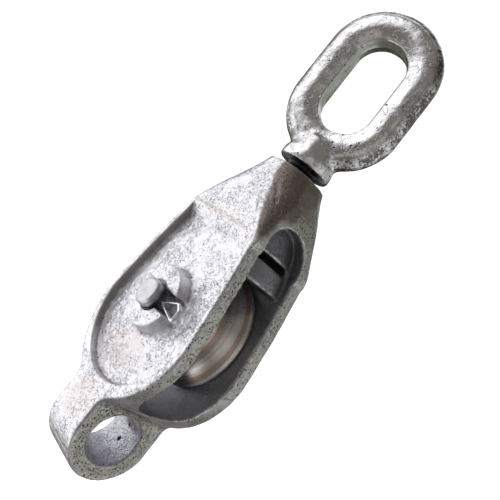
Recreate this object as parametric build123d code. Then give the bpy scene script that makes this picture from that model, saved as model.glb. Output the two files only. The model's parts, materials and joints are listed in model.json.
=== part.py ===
from build123d import *

import math
import os

# Galvanised single-sheave pulley block with a swivel eye above and a becket lug below.
# Millimetres. It is drawn about the middle of the sheave: +Z runs up to the eye, Y is the
# axle, and the slotted boss with the split pin is on the -Y cheek. Each piece is written
# with its origin at the top of the hole in the eye, where a hook or shackle bears.

# Sheave
sheave_diameter = 73.4
rim_width = 31.4
rim_lip = 2.4
lip_chamfer = 0.8
groove_depth = 11.5
groove_root_radius = 6.8
side_clearance = 0.3
axle_clearance = 0.08

# Axle pin
pin_diameter = 16.4
pin_seat_clearance = 0.1
pin_stand = 4.9
pin_end_chamfer = 1.2
pin_head_diameter = 27.0
pin_head_thickness = 5.0
pin_head_chamfer = 1.5

# Cheeks
cheek_thickness = 9.0
cheek_half_width = 47.9
cheek_bottom_radius = 47.9
cheek_widest_drop = 12.0
cheek_side_bulge = 1.0
cheek_edge = 1.2
shoulder_half_width = 36.9
shoulder_height = 50.5
gap_bottom_drop = 53.5
gap_top_height = 73.5

# Sunk panels in the cheeks
panel_depth = 5.0
border_width = 4.6
border_width_below = 8.4
panel_slope_height = 7.5
panel_slope_inset = 1.5

# Boss round the free end of the pin, slotted for the split pin, and the one under its head
boss_diameter = 38.4
boss_draft = 1.0
boss_stand = 3.6
boss_bore_diameter = 18.8
boss_slot_width = 11.4
boss_slot_rise = 1.2

# Head above the shoulders
head_height = 104.0
head_top_radius = 18.6
head_facet_half_width = 4.8

# How the head draws in: the share of its height, then how far its sides, its faces, the
# faces' edges, the sides' edges and the corners (along X and Y) have gone towards the top
head_stages = [
    (0.00, 0.00, 0.00, 0.04, 0.07, 0.60, 0.60),
    (0.16, 0.03, 0.02, 0.19, 0.34, 0.93, 0.25),
    (0.32, 0.20, 0.16, 0.47, 0.44, 0.74, 0.30),
    (0.50, 0.34, 0.34, 0.75, 0.57, 0.53, 0.40),
    (0.75, 0.63, 0.61, 0.93, 0.80, 0.30, 0.34),
    (1.00, 1.00, 1.00, 1.00, 1.00, 0.27, 0.27),
]

# Core between the cheeks: it carries the swivel nut in a slot and keeps the rope in
guard_clearance = 0.8
core_low_radius = 37.4
core_middle_radius = 32.4
core_middle_height = 52.0
core_top_radius = 23.0
nut_slot_height = 4.4
nut_slot_top = 54.6

# Becket lug
lug_width = 33.8
lug_radius = 25.2
lug_drop = 75.9
lug_bore_diameter = 30.8
lug_blend = 9.0
lug_parting_rise = 3.5

# Swivel eye and nut
shank_diameter = 20.0
shank_clearance = 0.3
shank_reach = 8.0
nut_diameter = 27.0
nut_side_clearance = 0.8
nut_end_clearance = 0.3
nut_edge = 0.6
eye_turn = 31.7
collar_gap = 4.9
collar_radius = 17.2
collar_height = 7.0
collar_edge = 0.8
neck_radius = 11.5
neck_height = 13.0
neck_web_half_width = 14.2
neck_web_blend = 11.0
eye_half_width = 37.0
eye_bar_top = 24.0
eye_bar_bottom = 21.8
eye_bar_side = 21.3
eye_hole_height = 63.9
eye_thickness = 19.0
eye_crown_width = 7.0
eye_crown_depth = 1.6
eye_outer_round = 7.6
eye_bevel_width = 9.0
eye_bevel_depth = 1.5
eye_draft = 6.0

# Split pin
wire_radius = 1.4
wire_gap = 0.1
wire_hole_clearance = 0.2
wire_setback = 8.1
leg_reach = 17.0
leg_spread = 2.6
leg_difference = 1.0
wire_straight = 1.0
loop_reach = 24.5
loop_height = 4.6
loop_drop = 4.0
loop_nose_length = 3.6
loop_nose_height = 1.9
loop_bend = 1.5
leg_bend = 2.2

# How far a solid runs into what it joins or past what it cuts, and how near two lengths
# are when they count as one
overlap = 1.0
tolerance = 0.01

# Places that follow from the sizes above
pin_radius = pin_diameter / 2
half_gap = rim_width / 2 + side_clearance
cheek_face = half_gap + cheek_thickness
panel_face = cheek_face - panel_depth
boss_face = cheek_face + boss_stand
pin_end = boss_face + pin_stand
wire_place = pin_end - wire_setback
sheave_radius = sheave_diameter / 2
guard_height = sheave_radius + guard_clearance
lug_parting_drop = gap_bottom_drop - lug_parting_rise
collar_low = head_height + collar_gap
eye_low = collar_low + collar_height
eye_hole_low = eye_low + eye_bar_bottom
eye_hole_top = eye_hole_low + eye_hole_height


def drawn(face, direction, low, high):
    """A flat face through the origin, drawn out from low to high along a direction."""
    start = Vector(*direction) * low
    return extrude(Pos(start) * face, amount=high - low, dir=direction)


def leaning(face, width, depth):
    """A flat face drawn out from the XZ plane, spreading by a width over a depth."""
    lean = math.degrees(math.atan2(width, depth))
    return extrude(Plane.XZ * face, amount=depth, taper=-lean)


def turned_about_y(points):
    """A solid turned about the axle, from corners given as (radius, y)."""
    return revolve(make_face(Polyline(*points, close=True)), Axis.Y)


def turned_about_z(points):
    """A solid turned about the swivel axis, from corners given as (radius, z)."""
    return revolve(Plane.XZ * make_face(Polyline(*points, close=True)), Axis.Z)


def cheek_outline(inset, inset_below, top):
    """A cheek seen from the front, drawn in at the sides and below, up to a height."""
    low_x = cheek_half_width - inset
    high_x = shoulder_half_width - inset
    low_z = -cheek_widest_drop
    middle_x = (low_x + high_x) / 2 + cheek_side_bulge
    middle_z = (low_z + shoulder_height) / 2
    bottom = low_z - cheek_bottom_radius + inset_below
    edges = [
        ThreePointArc((low_x, low_z), (middle_x, middle_z), (high_x, shoulder_height)),
        Line((high_x, shoulder_height), (high_x, top)),
        Line((high_x, top), (-high_x, top)),
        Line((-high_x, top), (-high_x, shoulder_height)),
        ThreePointArc((-high_x, shoulder_height), (-middle_x, middle_z), (-low_x, low_z)),
        ThreePointArc((-low_x, low_z), (0, bottom), (low_x, low_z)),
    ]
    return make_face(edges)


def cheeks_and_lug():
    """The casting below the shoulders, before the space between the cheeks is cut."""
    outline = cheek_outline(0, 0, shoulder_height + overlap)
    lug_top = -cheek_widest_drop
    lug_bottom = -lug_drop - lug_radius
    lug = Pos(0, (lug_top + lug_bottom) / 2) * Rectangle(lug_width, lug_top - lug_bottom)
    outline += lug
    corners = outline.vertices().filter_by(
        lambda v: abs(abs(v.X) - lug_width / 2) < tolerance and v.Y > lug_bottom + overlap
    )
    outline = fillet(corners, lug_blend)
    flush = cheek_face - cheek_edge
    edge = Pos(0, -flush, 0) * leaning(outline, -cheek_edge, cheek_edge)
    front = drawn(Plane.XZ * outline, (0, 1, 0), -flush, flush) + [edge, mirror(edge, Plane.XZ)]
    below = Pos(0, -lug_drop / 2) * Rectangle(2 * cheek_face, lug_drop)
    above = Pos(0, shoulder_height / 2) * Rectangle(2 * cheek_face, shoulder_height)
    side = below + above + Pos(0, -lug_drop) * Circle(lug_radius)
    return front & drawn(Plane.YZ * side, (1, 0, 0), -cheek_half_width, cheek_half_width)


def head_section(share, sides, faces, face_edge, side_edge, corner_x, corner_y):
    """One level of the head: flat faces and sides, joined by round corners."""
    top_half = head_facet_half_width
    x = shoulder_half_width + sides * (head_top_radius - shoulder_half_width)
    y = cheek_face + faces * (head_top_radius - cheek_face)
    edge_x = shoulder_half_width + face_edge * (top_half - shoulder_half_width)
    edge_y = cheek_face + side_edge * (top_half - cheek_face)
    corner = (
        (edge_x + x + corner_x * (x - edge_x)) / 2,
        (edge_y + y + corner_y * (y - edge_y)) / 2,
    )
    round_corner = ThreePointArc((edge_x, y), corner, (x, edge_y))
    half = [Line((-edge_x, y), (edge_x, y)), round_corner, Line((x, edge_y), (x, -edge_y))]
    half += [mirror(round_corner, Plane.YZ)]
    other = [mirror(edge, Plane.XZ) for edge in (half[0], half[1], half[3])]
    other += [mirror(half[2], Plane.YZ)]
    height = shoulder_height + share * (head_height - shoulder_height)
    return Pos(0, 0, height) * make_face(half + other)


def head():
    """The head: as wide as the cheeks at the shoulders and nearly round at the top."""
    return loft([head_section(*stage) for stage in head_stages])


def rope_space():
    """The space between the cheeks, round at both ends, less the core across its top."""
    low = half_gap - gap_bottom_drop
    high = gap_top_height - half_gap
    opening = Pos(0, (low + high) / 2) * Rectangle(2 * half_gap, high - low)
    opening += [Pos(0, low) * Circle(half_gap), Pos(0, high) * Circle(half_gap)]
    reach = cheek_half_width + overlap
    tunnel = drawn(Plane.YZ * opening, (1, 0, 0), -reach, reach)
    profile = [
        Line((0, guard_height), (core_low_radius, guard_height)),
        ThreePointArc(
            (core_low_radius, guard_height),
            (core_middle_radius, core_middle_height),
            (core_top_radius, gap_top_height),
        ),
        Line((core_top_radius, gap_top_height), (0, gap_top_height)),
        Line((0, gap_top_height), (0, guard_height)),
    ]
    core = revolve(Plane.XZ * make_face(profile), Axis.Z)
    return tunnel - core


def panel():
    """The sunk panel of the -Y cheek. Its floor slopes out to the surface at the top."""
    slope_top = shoulder_height + panel_slope_height
    sunk = Plane.XZ * cheek_outline(border_width, border_width_below, slope_top)
    cut = drawn(sunk, (0, -1, 0), panel_face, cheek_face + boss_stand)
    slope = Polyline(
        (-panel_face, shoulder_height - panel_slope_inset),
        (-cheek_face, slope_top),
        (-cheek_face - boss_stand, slope_top),
        (-cheek_face - boss_stand, slope_top + overlap),
        (-panel_face + overlap, slope_top + overlap),
        (-panel_face + overlap, shoulder_height - panel_slope_inset),
        close=True,
    )
    wedge = drawn(Plane.YZ * make_face(slope), (1, 0, 0), -cheek_half_width, cheek_half_width)
    return cut - wedge


def slotted_boss():
    """The boss round the pin's free end: two lips, with the split pin's slot between."""
    top = boss_diameter / 2
    base = top + boss_draft
    boss = turned_about_y([(0, -boss_face), (top, -boss_face), (base, -panel_face), (0, -panel_face)])
    bore = Cylinder(boss_bore_diameter / 2, 4 * boss_face, rotation=(90, 0, 0))
    slot = Box(4 * base, 4 * boss_face, boss_slot_width)
    return boss - bore - Pos(0, 0, boss_slot_rise) * slot


def head_boss():
    """The boss that the pin's head seats on, level with the border of the +Y cheek."""
    top = boss_diameter / 2
    base = top + boss_draft
    return turned_about_y([(0, panel_face), (base, panel_face), (top, cheek_face), (0, cheek_face)])


def casting():
    """The casting: both cheeks, the head, the core between the cheeks and the lug."""
    body = cheeks_and_lug() + head() - rope_space()
    body -= [panel(), mirror(panel(), Plane.XZ)]
    body += [slotted_boss(), head_boss()]
    pin_bore = Cylinder(pin_radius + pin_seat_clearance, 4 * cheek_face, rotation=(90, 0, 0))
    shank_bore = Cylinder(shank_diameter / 2 + shank_clearance, 4 * head_height)
    shank_bore = Pos(0, 0, 2 * head_height + sheave_radius) * shank_bore
    slot_width = nut_diameter + 2 * nut_side_clearance
    nut_slot = Box(2 * core_low_radius, slot_width, nut_slot_height)
    nut_slot = Pos(0, 0, nut_slot_top - nut_slot_height / 2) * nut_slot
    lug_bore = Cylinder(lug_bore_diameter / 2, 2 * lug_width, rotation=(0, 90, 0))
    return body - [pin_bore, shank_bore, nut_slot, Pos(0, 0, -lug_drop) * lug_bore]


def level(solid, low, high):
    """The stretch of a solid between two heights."""
    slab = Box(4 * cheek_half_width, 4 * cheek_face, high - low)
    return solid & Pos(0, 0, (low + high) / 2) * slab


def sheave():
    """The grooved wheel, bored to run on the pin."""
    half_rim = rim_width / 2
    half_groove = half_rim - rim_lip
    bore = pin_radius + axle_clearance
    groove_bottom = sheave_radius - groove_depth
    root_middle = groove_bottom + groove_root_radius
    rise = sheave_radius - root_middle
    turn = math.atan2(half_groove, rise) + math.acos(groove_root_radius / math.hypot(rise, half_groove))
    flank_foot = root_middle + groove_root_radius * math.cos(turn)
    half_root = groove_root_radius * math.sin(turn)
    profile = [
        Polyline(
            (flank_foot, half_root),
            (sheave_radius, half_groove),
            (sheave_radius, half_rim),
            (bore, half_rim),
            (bore, -half_rim),
            (sheave_radius, -half_rim),
            (sheave_radius, -half_groove),
            (flank_foot, -half_root),
        ),
        ThreePointArc((flank_foot, -half_root), (groove_bottom, 0), (flank_foot, half_root)),
    ]
    wheel = revolve(make_face(Curve() + profile), Axis.Y)
    lips = wheel.edges().filter_by(
        lambda e: e.geom_type == GeomType.CIRCLE and abs(e.radius - sheave_radius) < tolerance
    )
    return chamfer(lips, lip_chamfer)


def axle_pin():
    """The headed pin, cross-drilled for the split pin near its free end."""
    rod = turned_about_y(
        [
            (0, -pin_end),
            (pin_radius - pin_end_chamfer, -pin_end),
            (pin_radius, -pin_end + pin_end_chamfer),
            (pin_radius, cheek_face),
            (0, cheek_face),
        ]
    )
    cap = Cylinder(pin_head_diameter / 2, pin_head_thickness, rotation=(-90, 0, 0))
    cap = chamfer(cap.edges().sort_by(Axis.Y)[-1], pin_head_chamfer)
    cap = Pos(0, cheek_face + pin_head_thickness / 2, 0) * cap
    hole = Cylinder(wire_radius + wire_hole_clearance, 2 * pin_diameter, rotation=(0, 90, 0))
    return rod + cap - Pos(0, -wire_place, 0) * hole


def split_pin():
    """The split pin: half-round wire doubled back from a loop, with its legs spread."""
    half = wire_gap / 2
    near = pin_radius + wire_straight
    route = [
        (-leg_reach, leg_spread),
        (-near, half),
        (near, half),
        (loop_reach - loop_nose_length, loop_height),
        (loop_reach, loop_nose_height),
        (loop_reach, -loop_drop),
        (near, -half),
        (-near, -half),
        (leg_difference - leg_reach, -leg_spread),
    ]
    bends = [leg_bend, leg_bend, loop_bend, loop_bend, loop_bend, leg_bend, leg_bend]
    path = Plane.XZ * FilletPolyline(*route, radius=bends)
    across = Plane(origin=path @ 0, x_dir=(0, 1, 0), z_dir=path % 0)
    flat = Line((-wire_radius, 0), (wire_radius, 0))
    back = ThreePointArc((-wire_radius, 0), (0, wire_radius), (wire_radius, 0))
    wire = sweep(across * make_face([flat, back]), path)
    return Pos(0, -wire_place, 0) * wire


def oblong(half_width, low, high):
    """An upright outline with straight sides and half-round ends."""
    centre = Pos(0, (low + high) / 2)
    return centre * SlotOverall(high - low, 2 * half_width, rotation=90)


def eye_outline():
    """The ring's outer edge from the front, with the web that blends it into the collar."""
    ring = oblong(eye_half_width, eye_low, eye_hole_top + eye_bar_top)
    outline = ring + Pos(0, collar_low) * Rectangle(2 * neck_web_half_width, 2 * eye_half_width)
    corners = outline.vertices().filter_by(
        lambda v: collar_low + overlap < v.Y < eye_low + eye_half_width / 2
    )
    return fillet(corners, neck_web_blend)


def swivel_eye():
    """The forging: an oblong ring on a round collar, and the shank that turns below it."""
    half = eye_thickness / 2
    outer = eye_outline()
    ring = drawn(Plane.XZ * outer, (0, 1, 0), -half + eye_crown_depth, half - eye_crown_depth)
    crown = leaning(outer, -eye_crown_width, eye_crown_depth)
    crown = Pos(0, eye_crown_depth - half, 0) * crown
    ring += [crown, mirror(crown, Plane.XZ)]
    rims = ring.edges().filter_by(
        lambda e: abs(abs(e.center().Y) - half + eye_crown_depth) < tolerance
    )
    ring = split(fillet(rims, eye_outer_round), Plane.XY.offset(collar_low), keep=Keep.TOP)
    hole = oblong(eye_half_width - eye_bar_side, eye_hole_low, eye_hole_top)
    opening = extrude(Plane.XZ * hole, amount=half, taper=-eye_draft)
    bevel = leaning(hole, eye_bevel_width, eye_bevel_depth)
    bevel = Pos(0, eye_bevel_depth - half, 0) * bevel
    ring -= [opening, mirror(opening, Plane.XZ), bevel, mirror(bevel, Plane.XZ)]
    neck = turned_about_z(
        [
            (0, collar_low),
            (collar_radius - collar_edge, collar_low),
            (collar_radius, collar_low + collar_edge),
            (collar_radius, eye_low),
            (neck_radius, eye_low + neck_height),
            (0, eye_low + neck_height),
        ]
    )
    shank_low = nut_slot_top - nut_slot_height - shank_reach
    shank = Cylinder(shank_diameter / 2, collar_low - shank_low)
    shank = Pos(0, 0, (collar_low + shank_low) / 2) * shank
    return Rot(0, 0, eye_turn) * (ring + neck + shank)


def swivel_nut():
    """The round nut on the shank, in its slot across the core."""
    radius = nut_diameter / 2
    top = nut_slot_top - nut_end_clearance
    low = nut_slot_top - nut_slot_height + nut_end_clearance
    return turned_about_z(
        [
            (shank_diameter / 2, low),
            (radius - nut_edge, low),
            (radius, low + nut_edge),
            (radius, top - nut_edge),
            (radius - nut_edge, top),
            (shank_diameter / 2, top),
        ]
    )


# The casting is one piece in the real block. Here it is parted in four that meet face to
# face, so that no convex hull of one reaches across the rope's way between the cheeks.
whole = casting()
front_cheek, back_cheek = level(whole, -lug_parting_drop, guard_height).solids().sort_by(Axis.Y)

nodes = {
    "head": level(whole, guard_height, head_height),
    "front_cheek": front_cheek,
    "back_cheek": back_cheek,
    "becket_lug": level(whole, -lug_drop - lug_radius, -lug_parting_drop),
    "sheave": sheave(),
    "axle_pin": axle_pin(),
    "split_pin": split_pin(),
    "swivel_eye": swivel_eye(),
    "swivel_nut": swivel_nut(),
}

os.makedirs("parts", exist_ok=True)
for name, solid in nodes.items():
    export_step(Pos(0, 0, -eye_hole_top) * solid, f"parts/{name}.step")
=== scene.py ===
"""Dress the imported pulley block: sand-cast galvanised iron, a forged eye and a turned sheave."""

from __future__ import annotations

import json
import logging
import math
from dataclasses import dataclass
from enum import Enum

import bmesh
import bpy
import numpy as np
from mathutils import Euler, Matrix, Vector, noise

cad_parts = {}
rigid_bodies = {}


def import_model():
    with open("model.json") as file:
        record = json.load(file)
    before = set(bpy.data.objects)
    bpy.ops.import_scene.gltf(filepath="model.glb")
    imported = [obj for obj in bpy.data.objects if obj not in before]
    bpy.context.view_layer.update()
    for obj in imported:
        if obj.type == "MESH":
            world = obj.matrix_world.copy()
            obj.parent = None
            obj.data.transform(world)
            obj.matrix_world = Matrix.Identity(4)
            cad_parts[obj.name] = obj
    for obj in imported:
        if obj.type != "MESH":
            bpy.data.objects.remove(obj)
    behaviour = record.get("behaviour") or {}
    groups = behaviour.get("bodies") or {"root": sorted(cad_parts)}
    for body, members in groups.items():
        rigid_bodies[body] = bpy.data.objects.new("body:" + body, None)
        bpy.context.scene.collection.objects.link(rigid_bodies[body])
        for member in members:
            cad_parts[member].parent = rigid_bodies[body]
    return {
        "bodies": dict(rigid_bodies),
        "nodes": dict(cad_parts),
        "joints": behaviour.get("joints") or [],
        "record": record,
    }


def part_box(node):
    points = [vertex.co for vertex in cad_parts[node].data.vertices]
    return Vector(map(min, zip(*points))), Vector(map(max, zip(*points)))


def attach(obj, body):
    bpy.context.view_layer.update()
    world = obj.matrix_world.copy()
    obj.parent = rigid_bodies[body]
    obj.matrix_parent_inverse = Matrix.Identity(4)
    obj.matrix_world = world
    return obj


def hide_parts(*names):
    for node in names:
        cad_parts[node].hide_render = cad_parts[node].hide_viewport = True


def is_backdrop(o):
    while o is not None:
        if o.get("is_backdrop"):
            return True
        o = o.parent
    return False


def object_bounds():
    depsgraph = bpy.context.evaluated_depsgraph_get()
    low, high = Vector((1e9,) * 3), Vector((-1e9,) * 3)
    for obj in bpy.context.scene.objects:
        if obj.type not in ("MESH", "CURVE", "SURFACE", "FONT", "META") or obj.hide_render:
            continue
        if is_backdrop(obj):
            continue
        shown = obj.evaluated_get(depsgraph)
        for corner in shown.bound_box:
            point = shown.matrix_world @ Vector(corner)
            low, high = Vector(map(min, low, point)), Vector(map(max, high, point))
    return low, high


LOG = logging.getLogger("pulley_block")
MM = 0.001
Colour = tuple[float, float, float, float]
Socket = bpy.types.NodeSocket

NOISE = "ShaderNodeTexNoise"
MATH = "ShaderNodeMath"
VECTOR = "ShaderNodeVectorMath"
RANGE = "ShaderNodeMapRange"
MIX = "ShaderNodeMix"
BUMP = "ShaderNodeBump"
SOFT = {"interpolation_type": "SMOOTHSTEP"}
COLOURS = {"data_type": "RGBA"}
TIMES = {"operation": "MULTIPLY", "use_clamp": True}
TIMES_PLUS = {"operation": "MULTIPLY_ADD"}

# The numbers of a colour mix's sockets, since other kinds of mix share their names.
SHARE, UNDER, OVER, MIXED = 0, 6, 7, 2

# How much detail each pattern of noise has.
MOTTLE_NOISE = {"Detail": 4.0, "Roughness": 0.6}
GRAIN_NOISE = {"Detail": 2.0, "Roughness": 0.6}
CREASE_NOISE = {"Detail": 2.0, "Roughness": 0.5, "Distortion": 0.6}
DRIFT_NOISE = {"Detail": 2.0}
RING_NOISE = {"Detail": 1.0}

# The value that noise lies about.
NOISE_MIDDLE = 0.5

# Where each effect starts and ends on the pattern that steers it, and what it gives there.
SHINE = {"From Min": 0.3, "From Max": 0.7}
BREAKS = {"From Min": 0.88, "From Max": 1.08}
CREASE_WIDTH = {"From Min": 0.006, "From Max": 0.036, "To Min": 1.0, "To Max": 0.0}
CREASE_DRIFTS = {"From Min": 0.38, "From Max": 0.56, "To Min": 0.1}
PIT_RIM = {"From Min": 0.36, "From Max": 0.20}
PIT_DRIFTS = {"From Min": 0.36, "From Max": 0.62, "To Min": 0.25, "To Max": 1.75}
THICK_ZINC = {"From Min": 0.40, "From Max": 0.64}
FLECKS = {"From Min": 0.50, "From Max": 0.68, "To Max": 0.7}
BANDS = {"From Min": 0.46, "From Max": 0.60}

# Where a stain ends, as a share of its reach, and how far it fades to either side of that.
PATCH_RIM = 0.9
PATCH_FADE = 0.3

# How fast finer layers of lumps fade, how much finer each one is, and how many there are.
LUMP_LAYERS = (1.0, 2.0, 3)
WELD_MM = 0.002
WHITE = "#FFFFFF"


class Body(Enum):
    """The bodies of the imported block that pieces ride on."""

    EYE = "eye"
    BLOCK = "block"
    WHEEL = "wheel"


class Slot(Enum):
    """The record's material slots."""

    CASTING = "galvanised_casting"
    FORGING = "galvanised_forging"
    SHEAVE = "galvanised_sheave"
    PIN = "galvanised_pin"
    WIRE = "plated_wire"
    NUT = "dark_nut"


def linear(hex_colour: str) -> Colour:
    """Turn an sRGB hex colour into Blender's linear colour.

    Args:
        hex_colour: Six hex digits after a hash sign.

    Returns:
        Red, green, blue and an alpha of one.
    """
    # The curve of the sRGB standard.
    parts = [int(hex_colour[i : i + 2], 16) / 255 for i in (1, 3, 5)]
    low = [c / 12.92 if c <= 0.04045 else ((c + 0.055) / 1.055) ** 2.4 for c in parts]
    return (low[0], low[1], low[2], 1.0)


def add_node(tree: bpy.types.NodeTree, kind: str, settings: dict, sockets: dict) -> bpy.types.Node:
    """Add a node, set its properties, and fill or link its input sockets.

    Args:
        tree: The node tree that gets the node.
        kind: The node's Blender type.
        settings: Property names and their values.
        sockets: Input names or numbers, each with a plain value or an output to link.

    Returns:
        The new node.
    """
    node = tree.nodes.new(kind)
    for name, value in settings.items():
        setattr(node, name, value)
    for key, value in sockets.items():
        if isinstance(value, Socket):
            tree.links.new(value, node.inputs[key])
        else:
            node.inputs[key].default_value = value
    return node


@dataclass
class Skin:
    """A closed mesh as arrays, for smoothing it and giving it relief."""

    points: np.ndarray
    edges: np.ndarray
    normals: np.ndarray

    @classmethod
    def of(cls, piece: bpy.types.Object) -> Skin:
        """Read a piece's mesh.

        Args:
            piece: The mesh object to read.

        Returns:
            Its points, edges and point normals.
        """
        mesh = piece.data
        points = np.empty(len(mesh.vertices) * 3)
        mesh.vertices.foreach_get("co", points)
        edges = np.empty(len(mesh.edges) * 2, np.int32)
        mesh.edges.foreach_get("vertices", edges)
        normals = np.empty(len(mesh.vertices) * 3)
        mesh.vertex_normals.foreach_get("vector", normals)
        return cls(points.reshape(-1, 3), edges.reshape(-1, 2), normals.reshape(-1, 3))

    def averaged(self, values: np.ndarray, rounds: int) -> np.ndarray:
        """Average values with those of the neighbouring points.

        Args:
            values: One row for each point.
            rounds: How many times to average.

        Returns:
            The averaged rows.
        """
        first, second = self.edges[:, 0], self.edges[:, 1]
        size = len(self.points)
        count = np.maximum(np.bincount(self.edges.ravel(), minlength=size), 1)
        columns = values.reshape(size, -1).copy()
        for _ in range(rounds):
            total = np.empty_like(columns)
            for c in range(columns.shape[1]):
                sums = np.bincount(first, columns[second, c], size)
                sums += np.bincount(second, columns[first, c], size)
                total[:, c] = sums / count
            columns = (columns + total) / 2
        return columns.reshape(values.shape)

    def curvature(self, rounds: int) -> np.ndarray:
        """How far each point stands out of its surroundings, in millimetres: edges above zero."""
        moved = self.points - self.averaged(self.points, rounds)
        return np.einsum("ij,ij->i", moved, self.normals) / MM

    def write(self, piece: bpy.types.Object) -> None:
        """Put the points back into a piece's mesh."""
        piece.data.vertices.foreach_set("co", self.points.ravel())
        piece.data.update()


def cloud(points: np.ndarray, size_mm: float, seed: float) -> np.ndarray:
    """Smooth random values from about -1 to 1 at points in space.

    Args:
        points: The points, in metres.
        size_mm: The size of the largest lumps, in millimetres.
        seed: Shifts the pattern, so that two pieces differ.

    Returns:
        One value for each point.
    """
    scaled = points / (size_mm * MM) + seed
    return np.array([noise.fractal(p, *LUMP_LAYERS) for p in scaled.tolist()])


def ramp(values: np.ndarray, start: float | np.ndarray, width: float) -> np.ndarray:
    """Shares that rise from 0 at a start to 1 a width further on."""
    return np.clip((values - start) / width, 0, 1)


def cad_copy(frame: dict, nodes: tuple[str, ...], name: str) -> bpy.types.Object:
    """Copy the meshes of CAD nodes into one new object, with the seams of each one welded.

    Args:
        frame: The loaded frame.
        nodes: The CAD nodes' names.
        name: The new piece's name.

    Returns:
        The new object.
    """
    shape = bmesh.new()
    for node in nodes:
        shape.from_mesh(frame["nodes"][node].data)
    bmesh.ops.remove_doubles(shape, verts=shape.verts, dist=WELD_MM * MM)
    bmesh.ops.recalc_face_normals(shape, faces=shape.faces)
    mesh = bpy.data.meshes.new(name)
    shape.to_mesh(mesh)
    shape.free()
    piece = bpy.data.objects.new(name, mesh)
    bpy.context.scene.collection.objects.link(piece)
    return piece


def apply_modifiers(piece: bpy.types.Object) -> None:
    """Turn a piece's modifiers into its own mesh, shaded smooth.

    Args:
        piece: The mesh object to change.
    """
    bpy.context.view_layer.update()
    graph = bpy.context.evaluated_depsgraph_get()
    baked = bpy.data.meshes.new_from_object(piece.evaluated_get(graph))
    piece.modifiers.clear()
    piece.data = baked
    baked.shade_smooth()


def even_skin(piece: bpy.types.Object, square_mm: float) -> None:
    """Give a piece an even skin of small squares.

    Args:
        piece: The mesh object to change.
        square_mm: The squares' size.
    """
    modifier = piece.modifiers.new("even_skin", "REMESH")
    modifier.mode = "VOXEL"
    modifier.voxel_size = square_mm * MM
    apply_modifiers(piece)


def store(piece: bpy.types.Object, name: str, values: np.ndarray) -> None:
    """Keep a value for each point of a piece, for its material to read."""
    attribute = piece.data.attributes.new(name, "FLOAT", "POINT")
    attribute.data.foreach_set("value", values.astype(np.float32))


def seated(piece: bpy.types.Object, body: Body, nodes: tuple[str, ...]) -> bpy.types.Object:
    """Let a piece stand for CAD nodes and move with their body.

    Args:
        piece: The finished piece.
        body: The CAD body that it rides on.
        nodes: The CAD nodes that it replaces.

    Returns:
        The piece.
    """
    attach(piece, body.value)
    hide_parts(*nodes)
    return piece


@dataclass(frozen=True)
class Patch:
    """A soft-edged stain, or a patch of painted shade. Its place and reach are in millimetres about the
    sheave's middle.
    """

    place: tuple[float, float, float]
    reach: tuple[float, float, float]
    colour: str
    strength: float
    broken: float = 1.0


@dataclass(frozen=True)
class Mark:
    """A colour over the places that a piece's own mesh marks under a name."""

    name: str
    colour: str
    strength: float
    broken: float = 0.0


@dataclass
class Ground:
    """What the parts of one finish share while its nodes are laid."""

    tree: bpy.types.NodeTree
    place: Socket
    mottle: Socket
    grain: Socket


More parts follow.
